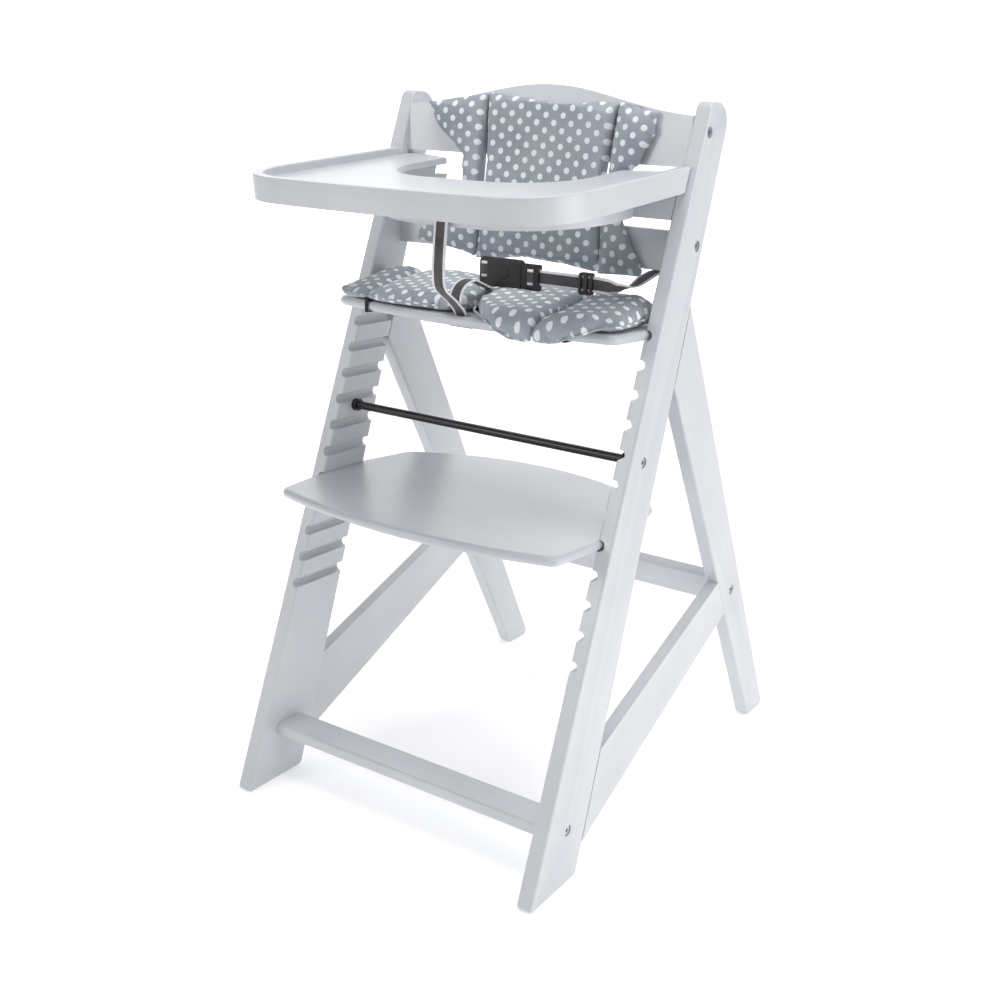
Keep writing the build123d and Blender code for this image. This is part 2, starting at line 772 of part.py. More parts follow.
with BuildPart() as tongue:
    with BuildSketch(Plane.YZ.offset(housing_right + mouth_clearance)):
        with Locations((buckle_y, buckle_z)):
            RectangleRounded(tongue_depth, tongue_height, 3.0)
    extrude(amount=tongue_length)
    with BuildSketch(Plane.YZ.offset(housing_right + mouth_clearance)):
        with Locations((buckle_y, buckle_z)):
            Rectangle(prong_depth, prong_height)
    extrude(amount=-prong_length)
    with BuildSketch(Plane.YZ.offset(housing_right + mouth_clearance + tongue_length)):
        with Locations((buckle_y, buckle_z)):
            Rectangle(web_thick, web_width)
    extrude(amount=-tongue_length * 0.6, mode=Mode.SUBTRACT)
save(tongue.part, "buckle_tongue")

strap_start = housing_right + mouth_clearance + tongue_length * 0.4
hook_inner = inner_half - hook_side_gap - web_width
hook_low = lower_board_low - hook_clearance - web_thick / 2
hook_high = lower_board_low + hook_rise
hook_sag = board_sag * (1 - (hook_inner / inner_half) ** 2)
hook_back = board_thick + hook_sag + hook_clearance + web_thick / 2

with BuildPart() as waist_strap:
    with BuildSketch(Plane.YZ.offset(strap_start)):
        with Locations((buckle_y, buckle_z)):
            Rectangle(web_thick, web_width)
    extrude(amount=hook_inner + web_width - strap_start)
    hook = [(buckle_y, buckle_z), (board_front(hook_low) + hook_back, hook_low),
            (board_front(hook_high) + hook_back, hook_high)]
    band(hook, web_width, hook_inner + web_width / 2, 1.5)
save(waist_strap.part, "waist_strap")

adjuster_length, adjuster_depth, adjuster_height = adjuster_size
with BuildPart() as adjuster:
    with BuildSketch(Plane.XZ.offset(-buckle_y - adjuster_depth / 2)):
        with Locations((adjuster_x, buckle_z)):
            RectangleRounded(adjuster_length, adjuster_height, 3.0)
    extrude(amount=adjuster_depth)
    with BuildSketch(Plane.XZ.offset(-buckle_y + adjuster_depth / 2)):
        with Locations((adjuster_x - 4.5, buckle_z), (adjuster_x + 4.5, buckle_z)):
            Rectangle(4.0, web_width + 2 * web_clearance)
    extrude(amount=-adjuster_depth / 2, mode=Mode.SUBTRACT)
    with BuildSketch(Plane.YZ.offset(adjuster_x - adjuster_length / 2)):
        with Locations((buckle_y, buckle_z)):
            Rectangle(web_thick + 2 * web_clearance, web_width + 2 * web_clearance)
    extrude(amount=adjuster_length, mode=Mode.SUBTRACT)
save(adjuster.part, "strap_adjuster")


# ---- Cushions --------------------------------------------------------------------------------
pad_low = seat_top + pad_lift
pad_half = inner_half - pad_side_gap
pad_front = post_front(seat_z) - seat_reach - pad_overhang
pad_rear = post_back(seat_z) - pad_rear_inset
slit_length = slot_y + pad_slit_depth - (pad_front - seat_bow)

with BuildPart() as seat_pad:
    with BuildSketch(Plane.XY.offset(pad_low)):
        with BuildLine():
            ThreePointArc((-pad_half, pad_front), (0, pad_front - seat_bow), (pad_half, pad_front))
            Polyline((pad_half, pad_front), (pad_half, pad_rear), (-pad_half, pad_rear),
                     (-pad_half, pad_front))
        make_face()
        with Locations((0, pad_front - seat_bow)):
            Rectangle(2 * pad_slit, 2 * slit_length, mode=Mode.SUBTRACT)
    extrude(amount=pad_thick)
save(seat_pad.part, "seat_pad")

back_pad_wing = inner_half - back_pad_side_gap
pad_bottom = lower_board_low - back_pad_below
pad_top = top_board_low + top_board_height + back_pad_above
waist_low = block_low - waist_margin
waist_high = rim_top + waist_margin
pad_lean = Vector(0, board_lean, 1).normalized()
pad_base = Vector(0, board_front(pad_bottom) - pad_gap, pad_bottom)

with BuildPart() as back_pad:
    with BuildSketch(Plane(pad_base, x_dir=(1, 0, 0), z_dir=pad_lean)):
        Rectangle(2 * back_pad_wing, pad_thick, align=(Align.CENTER, Align.MAX))
    extrude(amount=pad_top - pad_bottom)
    with BuildSketch(Plane.XZ.offset(-foot_length)):
        with Locations((-back_pad_wing, waist_low), (back_pad_wing, waist_low)):
            Rectangle(2 * (back_pad_wing - back_pad_waist), waist_high - waist_low,
                      align=(Align.CENTER, Align.MIN))
    extrude(amount=2 * foot_length, mode=Mode.SUBTRACT)
save(back_pad.part, "back_pad")

tie_edge = 1 - ((tie_x - tie_width) / nose_half) ** 2
tie_front = post_front(seat_z) - seat_reach - seat_bow * tie_edge - pad_gap
tie_inner = step_thick / 2 + web_clearance

with BuildPart() as ties:
    for side in (-1, 1):
        with BuildSketch(Plane.YZ.offset(side * tie_x - tie_width / 2)):
            with Locations((tie_front - tie_thick, seat_z)):
                Rectangle(tie_length, 2 * (tie_inner + tie_thick), align=(Align.MIN, Align.CENTER))
            with Locations((tie_front, seat_z)):
                Rectangle(tie_length, 2 * tie_inner, align=(Align.MIN, Align.CENTER),
                          mode=Mode.SUBTRACT)
        extrude(amount=tie_width)
save(ties.part, "pad_ties")

print(len(parts_made), "nodes:", ", ".join(parts_made))
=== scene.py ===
import math
import bmesh
import bpy
from mathutils import Matrix, Vector, geometry, noise


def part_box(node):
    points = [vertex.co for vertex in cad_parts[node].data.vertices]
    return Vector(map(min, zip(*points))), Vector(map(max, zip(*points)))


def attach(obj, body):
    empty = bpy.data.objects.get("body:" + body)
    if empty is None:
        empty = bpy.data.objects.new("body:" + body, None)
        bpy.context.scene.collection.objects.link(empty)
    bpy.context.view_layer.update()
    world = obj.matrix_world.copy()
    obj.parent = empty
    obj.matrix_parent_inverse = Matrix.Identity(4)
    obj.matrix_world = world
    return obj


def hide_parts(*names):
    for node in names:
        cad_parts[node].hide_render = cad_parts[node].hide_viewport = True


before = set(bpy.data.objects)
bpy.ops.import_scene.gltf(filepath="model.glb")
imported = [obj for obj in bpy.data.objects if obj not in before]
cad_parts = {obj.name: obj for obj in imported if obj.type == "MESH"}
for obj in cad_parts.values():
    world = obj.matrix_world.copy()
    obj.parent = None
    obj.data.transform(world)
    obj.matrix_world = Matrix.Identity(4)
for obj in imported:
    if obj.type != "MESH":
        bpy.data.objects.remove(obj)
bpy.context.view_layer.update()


# ---- Node helpers ----------------------------------------------------------------------------
def new_material(name):
    material = bpy.data.materials.new(name)
    material.use_nodes = True
    tree = material.node_tree
    return material, tree, tree.nodes["Principled BSDF"]


def node(tree, kind, **settings):
    made = tree.nodes.new(kind)
    for key, value in settings.items():
        setattr(made, key, value)
    return made


def link(tree, source, target):
    tree.links.new(source, target)


def math_node(tree, operation, first, second=None, third=None):
    made = node(tree, "ShaderNodeMath", operation=operation)
    for socket, value in zip(made.inputs, (first, second, third)):
        if value is None:
            continue
        if isinstance(value, (int, float)):
            socket.default_value = value
        else:
            link(tree, value, socket)
    return made.outputs[0]


def object_coords(tree, scale=(1, 1, 1), rotation=(0, 0, 0)):
    coords = node(tree, "ShaderNodeTexCoord")
    mapping = node(tree, "ShaderNodeMapping")
    mapping.inputs["Scale"].default_value = scale
    mapping.inputs["Rotation"].default_value = rotation
    link(tree, coords.outputs["Object"], mapping.inputs["Vector"])
    return mapping.outputs["Vector"]


def noise_of(tree, vector, scale, detail=4.0, rough=0.5):
    made = node(tree, "ShaderNodeTexNoise")
    made.inputs["Scale"].default_value = scale
    made.inputs["Detail"].default_value = detail
    made.inputs["Roughness"].default_value = rough
    link(tree, vector, made.inputs["Vector"])
    return made.outputs["Fac"]


def ramp(tree, factor, low, high, colours):
    made = node(tree, "ShaderNodeValToRGB")
    link(tree, factor, made.inputs["Fac"])
    made.color_ramp.elements[0].position = low
    made.color_ramp.elements[1].position = high
    made.color_ramp.elements[0].color = (*colours[0], 1)
    made.color_ramp.elements[1].color = (*colours[1], 1)
    return made.outputs["Color"]


def mix(tree, factor, first, second):
    made = node(tree, "ShaderNodeMix", data_type="RGBA")
    for socket, value in ((made.inputs[0], factor), (made.inputs[6], first), (made.inputs[7], second)):
        if isinstance(value, tuple):
            socket.default_value = (*value, 1)
        elif isinstance(value, float):
            socket.default_value = value
        else:
            link(tree, value, socket)
    return made.outputs[2]


def bump(tree, height, strength, distance, shader, before=None):
    made = node(tree, "ShaderNodeBump")
    made.inputs["Strength"].default_value = strength
    made.inputs["Distance"].default_value = distance
    link(tree, height, made.inputs["Height"])
    if before is not None:
        link(tree, before, made.inputs["Normal"])
    link(tree, made.outputs["Normal"], shader.inputs["Normal"])
    return made.outputs["Normal"]


def roughness_between(tree, factor, low, high, shader):
    made = node(tree, "ShaderNodeMapRange")
    made.inputs["To Min"].default_value = low
    made.inputs["To Max"].default_value = high
    link(tree, factor, made.inputs["Value"])
    link(tree, made.outputs["Result"], shader.inputs["Roughness"])


# ---- Materials -------------------------------------------------------------------------------
PAINT = (0.545, 0.560, 0.600)
PAINT_LIGHT = (0.600, 0.615, 0.655)
# paler grey used as a painted highlight along convex edges
PAINT_EDGE_HIGHLIGHT = (0.70, 0.71, 0.73)


def painted_wood(name, rotation, seed):
    """Opaque satin paint over wood: faint grain along the piece, brush drag, and paler convex edges as a
    painted highlight.
    """
    material, tree, shader = new_material(name)
    along = object_coords(tree, (1.2, 14.0, 14.0), rotation)
    plain = object_coords(tree)
    grain = noise_of(tree, along, 9.0 + seed, 6.0, 0.6)
    pores = noise_of(tree, along, 42.0 + seed, 3.0, 0.55)
    cloud = noise_of(tree, plain, 5.5 + seed, 3.0, 0.5)
    speck = noise_of(tree, plain, 900.0, 2.0, 0.5)
    base = ramp(tree, cloud, 0.30, 0.72, (PAINT, PAINT_LIGHT))
    dark = tuple(0.90 * c for c in PAINT)
    streak = ramp(tree, grain, 0.36, 0.50, ((1, 1, 1), (0, 0, 0)))
    veil = math_node(tree, "MULTIPLY", streak, 0.16)
    base = mix(tree, veil, base, dark)
    geometry_node = node(tree, "ShaderNodeNewGeometry")
    # painted highlight: sharp convex edges are mixed in patches towards a paler grey, standing in for
    # light caught on the rounded edges
    edge = ramp(tree, geometry_node.outputs["Pointiness"], 0.515, 0.56, ((0, 0, 0), (1, 1, 1)))
    edge_highlight = math_node(tree, "MULTIPLY", edge, math_node(tree, "MULTIPLY", cloud, 0.7))
    base = mix(tree, edge_highlight, base, PAINT_EDGE_HIGHLIGHT)
    link(tree, base, shader.inputs["Base Color"])
    roughness_between(tree, grain, 0.30, 0.42, shader)
    shader.inputs["Coat Weight"].default_value = 0.25
    shader.inputs["Coat Roughness"].default_value = 0.22
    first = bump(tree, pores, 0.10, 0.0006, shader)
    second = bump(tree, grain, 0.10, 0.0010, shader, first)
    bump(tree, speck, 0.05, 0.0002, shader, second)
    return material


def bare_wood():
    material, tree, shader = new_material("bare_beech")
    along = object_coords(tree, (20, 3, 20))
    grain = noise_of(tree, along, 30.0, 6.0, 0.6)
    tint = ramp(tree, grain, 0.3, 0.7, ((0.50, 0.33, 0.17), (0.68, 0.49, 0.28)))
    link(tree, tint, shader.inputs["Base Color"])
    roughness_between(tree, grain, 0.55, 0.7, shader)
    bump(tree, grain, 0.2, 0.0004, shader)
    return material


def steel():
    """Zinc-plated fastener: fine turned rings, faint blue cast."""
    material, tree, shader = new_material("zinc_steel")
    plain = object_coords(tree)
    cloud = noise_of(tree, plain, 160.0, 4.0, 0.6)
    tint = ramp(tree, cloud, 0.3, 0.7, ((0.52, 0.53, 0.56), (0.72, 0.73, 0.76)))
    link(tree, tint, shader.inputs["Base Color"])
    shader.inputs["Metallic"].default_value = 1.0
    roughness_between(tree, cloud, 0.22, 0.42, shader)
    bump(tree, noise_of(tree, plain, 1500.0, 2.0), 0.08, 0.0002, shader)
    return material


def black_paint(name, low, high, texture_scale, depth):
    material, tree, shader = new_material(name)
    plain = object_coords(tree)
    cloud = noise_of(tree, plain, 60.0, 4.0, 0.6)
    fine = noise_of(tree, plain, texture_scale, 3.0, 0.6)
    link(tree, ramp(tree, cloud, 0.3, 0.7, ((0.007, 0.007, 0.008), (0.018, 0.018, 0.020))),
         shader.inputs["Base Color"])
    roughness_between(tree, cloud, low, high, shader)
    bump(tree, fine, 0.25, depth, shader)
    return material


DOT_PITCH_U = 0.0265
DOT_PITCH_V = 0.0195
CLOTH_DARK = (0.285, 0.320, 0.370)
CLOTH_LIGHT = (0.400, 0.437, 0.485)
DOT_WHITE = (0.86, 0.88, 0.90)


def lattice_distance(tree, u, v, shift):
    """Distance to the nearest point of a rectangular lattice that is moved by `shift` cells."""
    offsets = []
    for value, pitch in ((u, DOT_PITCH_U), (v, DOT_PITCH_V)):
        cell = math_node(tree, "ADD", math_node(tree, "DIVIDE", value, pitch), shift)
        centred = math_node(tree, "SUBTRACT", math_node(tree, "FRACT", cell), 0.5)
        offsets.append(math_node(tree, "MULTIPLY", centred, pitch))
    squares = [math_node(tree, "MULTIPLY", value, value) for value in offsets]
    return math_node(tree, "SQRT", math_node(tree, "ADD", squares[0], squares[1]))


def dotted_cotton():
    """Grey-blue cotton printed with staggered white dots; plain weave from its own cloth map."""
    material, tree, shader = new_material("dotted_cotton")
    cloth = node(tree, "ShaderNodeUVMap", uv_map="cloth")
    split = node(tree, "ShaderNodeSeparateXYZ")
    link(tree, cloth.outputs["UV"], split.inputs["Vector"])
    u, v = split.outputs["X"], split.outputs["Y"]
    plain = object_coords(tree)
    wobble = noise_of(tree, plain, 420.0, 2.0)
    cloud = noise_of(tree, plain, 14.0, 4.0, 0.6)
    nearest = math_node(tree, "MINIMUM", lattice_distance(tree, u, v, 0.0),
                        lattice_distance(tree, u, v, 0.5))
    ragged = math_node(tree, "ADD", nearest, math_node(tree, "MULTIPLY", wobble, 0.0006))
    dot = ramp(tree, math_node(tree, "MULTIPLY", ragged, 100.0), 0.40, 0.47, ((1, 1, 1), (0, 0, 0)))
    ground = ramp(tree, cloud, 0.32, 0.70, (CLOTH_DARK, CLOTH_LIGHT))
    thread_u = math_node(tree, "SINE", math_node(tree, "MULTIPLY", u, 7800.0))
    thread_v = math_node(tree, "SINE", math_node(tree, "MULTIPLY", v, 7800.0))
    weave = math_node(tree, "MULTIPLY", thread_u, thread_v)
    flecked = mix(tree, math_node(tree, "MULTIPLY_ADD", weave, 0.06, 0.06), ground, (0.46, 0.50, 0.56))
    link(tree, mix(tree, dot, flecked, DOT_WHITE), shader.inputs["Base Color"])
    roughness_between(tree, cloud, 0.72, 0.86, shader)
    shader.inputs["Sheen Weight"].default_value = 0.25
    shader.inputs["Sheen Roughness"].default_value = 0.45
    first = bump(tree, weave, 0.22, 0.00012, shader)
    bump(tree, noise_of(tree, plain, 75.0, 4.0, 0.65), 0.30, 0.0011, shader, first)
    return material


def webbing():
    """Dark grey ribbed tape with a white stripe inside each edge, drawn on its own map."""
    material, tree, shader = new_material("striped_webbing")
    tape = node(tree, "ShaderNodeUVMap", uv_map="tape")
    split = node(tree, "ShaderNodeSeparateXYZ")
    link(tree, tape.outputs["UV"], split.inputs["Vector"])
    u, v = split.outputs["X"], split.outputs["Y"]
    plain = object_coords(tree)
    across = math_node(tree, "ABSOLUTE", u)
    fuzz = math_node(tree, "MULTIPLY", noise_of(tree, plain, 900.0, 2.0), 0.0005)
    ragged = math_node(tree, "ADD", across, fuzz)
    stripe = math_node(tree, "MULTIPLY",
                       math_node(tree, "GREATER_THAN", ragged, 0.0068),
                       math_node(tree, "LESS_THAN", ragged, 0.0103))
    rib = math_node(tree, "SINE", math_node(tree, "MULTIPLY", v, 4200.0))
    warp = math_node(tree, "SINE", math_node(tree, "MULTIPLY", u, 6200.0))
    weave = math_node(tree, "MULTIPLY", rib, warp)
    cloud = noise_of(tree, plain, 60.0, 3.0)
    ground = ramp(tree, cloud, 0.3, 0.7, ((0.055, 0.048, 0.050), (0.090, 0.080, 0.083)))
    ground = mix(tree, math_node(tree, "MULTIPLY_ADD", weave, 0.10, 0.10), ground, (0.19, 0.175, 0.18))
    white = ramp(tree, cloud, 0.3, 0.7, ((0.74, 0.75, 0.77), (0.86, 0.87, 0.88)))
    link(tree, mix(tree, stripe, ground, white), shader.inputs["Base Color"])
    roughness_between(tree, cloud, 0.66, 0.82, shader)
    shader.inputs["Sheen Weight"].default_value = 0.2
    bump(tree, weave, 0.45, 0.00025, shader)
    return material


def thread(name, colour):
    material, tree, shader = new_material(name)
    plain = object_coords(tree)
    twist = noise_of(tree, plain, 1800.0, 2.0)
    pale = tuple(min(1.0, 1.25 * c) for c in colour)
    link(tree, ramp(tree, twist, 0.35, 0.65, (colour, pale)), shader.inputs["Base Color"])
    roughness_between(tree, twist, 0.6, 0.8, shader)
    bump(tree, twist, 0.4, 0.0002, shader)
    return material


def floor_material():
    material, tree, shader = new_material("pale_floor")
    plain = object_coords(tree)
    cloud = noise_of(tree, plain, 2.0, 2.0)
    tint = ramp(tree, cloud, 0.2, 0.8, ((0.97, 0.97, 0.97), (0.99, 0.99, 0.99)))
    link(tree, tint, shader.inputs["Base Color"])
    roughness_between(tree, cloud, 0.75, 0.85, shader)
    shader.inputs["Emission Color"].default_value = (1, 1, 1, 1)
    shader.inputs["Emission Strength"].default_value = 0.30
    return material


QUARTER = math.pi / 2
WOOD_X = painted_wood("paint_cross_grain", (0, 0, 0), 0.0)
WOOD_POST = painted_wood("paint_post", (0, QUARTER, 0), 1.3)
WOOD_LEG = painted_wood("paint_leg", (0, QUARTER, 0), 2.1)
WOOD_BRACE = painted_wood("paint_brace", (0, 0, QUARTER), 3.4)
COTTON = dotted_cotton()
TAPE = webbing()
PLASTIC = black_paint("moulded_black", 0.30, 0.44, 1100.0, 0.0002)
ROD_BLACK = black_paint("rod_lacquer", 0.22, 0.36, 700.0, 0.0001)
ELASTIC = black_paint("black_elastic", 0.75, 0.9, 1600.0, 0.0006)
STEEL = steel()
BEECH = bare_wood()
TAPE_THREAD = thread("dark_thread", (0.05, 0.05, 0.05))

NODE_MATERIALS = {
    "left_post": WOOD_POST, "right_post": WOOD_POST,
    "left_rear_leg": WOOD_LEG, "right_rear_leg": WOOD_LEG,
    "left_side_brace": WOOD_BRACE, "right_side_brace": WOOD_BRACE,
    "wooden_dowels": BEECH, "front_crossbar": WOOD_X, "rear_crossbar": WOOD_X,
    "top_backrest_board": WOOD_X, "lower_backrest_board": WOOD_X,
    "tie_rod": ROD_BLACK, "rod_collars": PLASTIC,
    "socket_bolts": STEEL, "barrel_nuts": STEEL, "guard_screws": STEEL,
    "seat_board": WOOD_X, "footboard": WOOD_X, "tray_rim": WOOD_X, "tray_plate": WOOD_X,
    "guard_bar": WOOD_X, "left_guard_block": WOOD_X, "right_guard_block": WOOD_X,
    "strap_stop_bar": PLASTIC, "buckle_housing": PLASTIC, "buckle_button": PLASTIC,
    "buckle_tongue": PLASTIC, "strap_adjuster": PLASTIC, "pad_ties": ELASTIC,
}
for name, material in NODE_MATERIALS.items():
    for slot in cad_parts[name].material_slots:
        slot.material = material


# ---- Mesh helpers ----------------------------------------------------------------------------
def mesh_object(name, verts, faces, material, smooth=True):
    mesh = bpy.data.meshes.new(name)
    mesh.from_pydata([tuple(v) for v in verts], [], faces)
    mesh.validate()
    mesh.materials.append(material)
    piece = bpy.data.objects.new(name, mesh)
    bpy.context.scene.collection.objects.link(piece)
    for face in mesh.polygons:
        face.use_smooth = smooth
    return piece


def smooth_line(points, count):
    """Evenly read points of a soft curve through the given points (Catmull-Rom)."""
    ends = [2 * points[0] - points[1], *points, 2 * points[-1] - points[-2]]
    dense = []
    for index in range(1, len(ends) - 2):
        a, b, c, d = ends[index - 1:index + 3]
        for step in range(16):
            t = step / 16
            dense.append(0.5 * ((2 * b) + (c - a) * t + (2 * a - 5 * b + 4 * c - d) * t * t
                                + (3 * b - a - 3 * c + d) * t ** 3))
    dense.append(points[-1])
    lengths = [0.0]
    for first, second in zip(dense, dense[1:]):
        lengths.append(lengths[-1] + (second - first).length)
    total = lengths[-1]
    line = []
    index = 0
    for step in range(count + 1):
        want = total * step / count
        while index < len(lengths) - 2 and lengths[index + 1] < want:
            index += 1
        span = max(lengths[index + 1] - lengths[index], 1e-9)
        line.append(dense[index].lerp(dense[index + 1], (want - lengths[index]) / span))
    return line, total


TAPE_WIDTH = 0.020
TAPE_THICK = 0.0015
TAPE_CELLS = 8


def ribbon(name, points, sides, body, width=TAPE_WIDTH):
    """Flat woven strap through the points; `sides` gives the width direction at each point."""
    count = max(24, int(sum((b - a).length for a, b in zip(points, points[1:])) / 0.003))
    line, total = smooth_line(points, count)
    spans = [0.0]
    for a, b in zip(points, points[1:]):
        spans.append(spans[-1] + (b - a).length)
    verts, uvs = [], []
    for index, place in enumerate(line):
        share = index / count
        want = share * spans[-1]
        leg = max(k for k in range(len(spans) - 1) if spans[k] <= want + 1e-12)
        t = (want - spans[leg]) / max(spans[leg + 1] - spans[leg], 1e-9)
        side = Vector(sides[leg]).lerp(Vector(sides[leg + 1]), t * t * (3 - 2 * t))
        ahead = line[min(index + 1, count)] - line[max(index - 1, 0)]
        ahead.normalize()
        side = (side - ahead * side.dot(ahead)).normalized()
        face = ahead.cross(side).normalized()
        for layer in (0.5, -0.5):
            for cell in range(TAPE_CELLS + 1):
                across = (cell / TAPE_CELLS - 0.5) * width
                crown = 1.0 - 0.35 * abs(2 * cell / TAPE_CELLS - 1) ** 6
                verts.append(place + side * across + face * layer * TAPE_THICK * crown)
                uvs.append((across, share * total))
    ring = 2 * (TAPE_CELLS + 1)
    faces = []
    for index in range(count):
        a, b = index * ring, (index + 1) * ring
        for cell in range(TAPE_CELLS):
            faces.append((a + cell, a + cell + 1, b + cell + 1, b + cell))
            low = TAPE_CELLS + 1 + cell
            faces.append((a + low + 1, a + low, b + low, b + low + 1))
        faces.append((a, b, b + TAPE_CELLS + 1, a + TAPE_CELLS + 1))
        faces.append((a + TAPE_CELLS, a + ring - 1, b + ring - 1, b + TAPE_CELLS))
    for start in (0, count * ring):
        for cell in range(TAPE_CELLS):
            low = start + TAPE_CELLS + 1 + cell
            faces.append((start + cell, low, low + 1, start + cell + 1))
    piece = mesh_object(name, verts, faces, TAPE)
    layer = piece.data.uv_layers.new(name="tape")
    for loop in piece.data.loops:
        layer.data[loop.index].uv = uvs[loop.vertex_index]
    fix_normals(piece)
    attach(piece, body)
    return piece


def fix_normals(piece):
    edit = bmesh.new()
    edit.from_mesh(piece.data)
    bmesh.ops.recalc_face_normals(edit, faces=edit.faces)
    edit.to_mesh(piece.data)
    edit.free()


# ---- Cushions --------------------------------------------------------------------------------
VOXEL = 0.0045
SIM_FRAMES = 14
EDGE_INSET = 0.0015
SEAM_GIVE = 0.15             # the sewn edge keeps its plan, so the filling mostly swells upwards


def flat_pillow(outline, thickness):
    """Closed slab over a plan outline, held 3 mm above its resting face."""
    edit = bmesh.new()
    low = [edit.verts.new((x, y, 0.003)) for x, y in outline]
    high = [edit.verts.new((x, y, 0.003 + thickness)) for x, y in outline]
    edit.faces.new(list(reversed(low)))
    edit.faces.new(high)
    for index in range(len(outline)):
        after = (index + 1) % len(outline)
        edit.faces.new((low[index], low[after], high[after], high[index]))
    bmesh.ops.recalc_face_normals(edit, faces=edit.faces)
    mesh = bpy.data.meshes.new("pillow")
    edit.to_mesh(mesh)
    edit.free()
    piece = bpy.data.objects.new("pillow", mesh)
    bpy.context.scene.collection.objects.link(piece)
    return piece


def applied(piece):
    """Mesh with its modifiers applied, in place of the old one."""
    graph = bpy.context.evaluated_depsgraph_get()
    mesh = bpy.data.meshes.new_from_object(piece.evaluated_get(graph))
    piece.modifiers.clear()
    old = piece.data
    piece.data = mesh
    bpy.data.meshes.remove(old)


def inflate(piece, pressure, cap):
    """Swells the closed slab as cloth under inner pressure, with each point's travel capped."""
    remesh = piece.modifiers.new("even", "REMESH")
    remesh.mode = "VOXEL"
    remesh.voxel_size = VOXEL
    applied(piece)
    start = [v.co.copy() for v in piece.data.vertices]
    cloth = piece.modifiers.new("fill", "CLOTH")
    cloth.settings.quality = 5
    cloth.settings.mass = 0.25
    cloth.settings.tension_stiffness = 12.0
    cloth.settings.compression_stiffness = 12.0
    cloth.settings.bending_stiffness = 0.4
    cloth.settings.use_pressure = True
    cloth.settings.uniform_pressure_force = pressure
    cloth.settings.effector_weights.gravity = 0.0
    cloth.point_cache.frame_start = 1
    cloth.point_cache.frame_end = SIM_FRAMES
    for step in range(1, SIM_FRAMES + 1):
        bpy.context.scene.frame_set(step)
    applied(piece)
    bpy.context.scene.frame_set(1)
    for vertex, before in zip(piece.data.vertices, start):
        travel = vertex.co - before
        travel.x *= SEAM_GIVE
        travel.y *= SEAM_GIVE
        if travel.length > cap:
            vertex.co = before + travel.normalized() * cap


def edge_distance(x, y, outline):
    best = 1.0
    for index in range(len(outline)):
        a, b = outline[index], outline[(index + 1) % len(outline)]
        share = geometry.intersect_point_line((x, y, 0), (*a, 0), (*b, 0))[1]
        share = min(1.0, max(0.0, share))
        px = a[0] + (b[0] - a[0]) * share
        py = a[1] + (b[1] - a[1]) * share
        best = min(best, math.hypot(x - px, y - py))
    return best


def cushion(name, outline, thickness, rise, place, body, seed, pucker=0.0009):
    """Filled fabric pillow over a flat outline, then bent by `place` onto what it rests on."""
    piece = flat_pillow(outline, thickness)
    inflate(piece, 4.0, 0.007)
    smooth = piece.modifiers.new("soft", "SUBSURF")
    smooth.levels = 1
    smooth.render_levels = 1
    applied(piece)
    piece.name = name
    mesh = piece.data
    for axis in (0, 1):
        spread = [vertex.co[axis] for vertex in mesh.vertices]
        wanted = [point[axis] for point in outline]
        stretch = (max(wanted) - min(wanted) + 2 * EDGE_INSET) / (max(spread) - min(spread))
        for vertex in mesh.vertices:
            vertex.co[axis] = (min(wanted) - EDGE_INSET) + (vertex.co[axis] - min(spread)) * stretch
    uvs = []
    for vertex in mesh.vertices:
        x, y, z = vertex.co
        uvs.append((x, y))
        inside = min(1.0, edge_distance(x, y, outline) / 0.030)
        crown = rise * math.sqrt(max(0.0, inside * (2 - inside)))
        lump = noise.noise(Vector((x * 17 + seed, y * 17, seed))) * 0.0016
        fold = noise.noise(Vector((x * 70 + seed, y * 26, 2.0))) * pucker
        edge = math.exp(-edge_distance(x, y, outline) / 0.010)
        gather = math.sin((x + y) * 520 + 3 * lump / 0.0016) * pucker * edge
        if z > 0.004:
            z += crown + lump + fold + gather
        vertex.co = place(x, y, max(z, 0.0006))
    layer = mesh.uv_layers.new(name="cloth")
    for loop in mesh.loops:
        layer.data[loop.index].uv = uvs[loop.vertex_index]
    mesh.materials.clear()
    mesh.materials.append(COTTON)
    for face in mesh.polygons:
        face.use_smooth = True
    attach(piece, body)
    return piece


def cord_line(name, points, radius, material, body):
    """Round seam, piping or stitch line as a thin tube along the points."""
    curve = bpy.data.curves.new(name, "CURVE")
    curve.dimensions = "3D"
    curve.bevel_depth = radius
    curve.bevel_resolution = 2
    spline = curve.splines.new("POLY")
    spline.points.add(len(points) - 1)
    for point, place in zip(spline.points, points):
        point.co = (*place, 1)
    made = bpy.data.objects.new(name, curve)
    bpy.context.scene.collection.objects.link(made)
    graph = bpy.context.evaluated_depsgraph_get()
    mesh = bpy.data.meshes.new_from_object(made.evaluated_get(graph))
    bpy.data.objects.remove(made)
    piece = bpy.data.objects.new(name, mesh)
    bpy.context.scene.collection.objects.link(piece)
    mesh.materials.clear()
    mesh.materials.append(material)
    if material is COTTON:
        layer = mesh.uv_layers.new(name="cloth")
        for loop in mesh.loops:
            x, y, z = mesh.vertices[loop.vertex_index].co
            layer.data[loop.index].uv = (x, y + z)
    for face in mesh.polygons:
        face.use_smooth = True
    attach(piece, body)
    return piece


def piping(name, outline, place, height, body):
    """Sewn edge round a pillow: a thin cord of the same cloth."""
    dense = []
    for index in range(len(outline)):
        a, b = Vector(outline[index]), Vector(outline[(index + 1) % len(outline)])
        steps = max(2, int((b - a).length / 0.004))
        dense += [a.lerp(b, step / steps) for step in range(steps)]
    soft = dense
    for _ in range(4):
        soft = [(soft[i - 1] + soft[i] * 2 + soft[(i + 1) % len(soft)]) / 4 for i in range(len(soft))]
    edge = [place(p.x, p.y, height) for p in soft]
    edge.append(edge[0])
    cord_line(name + "_piping", edge, 0.0012, COTTON, body)


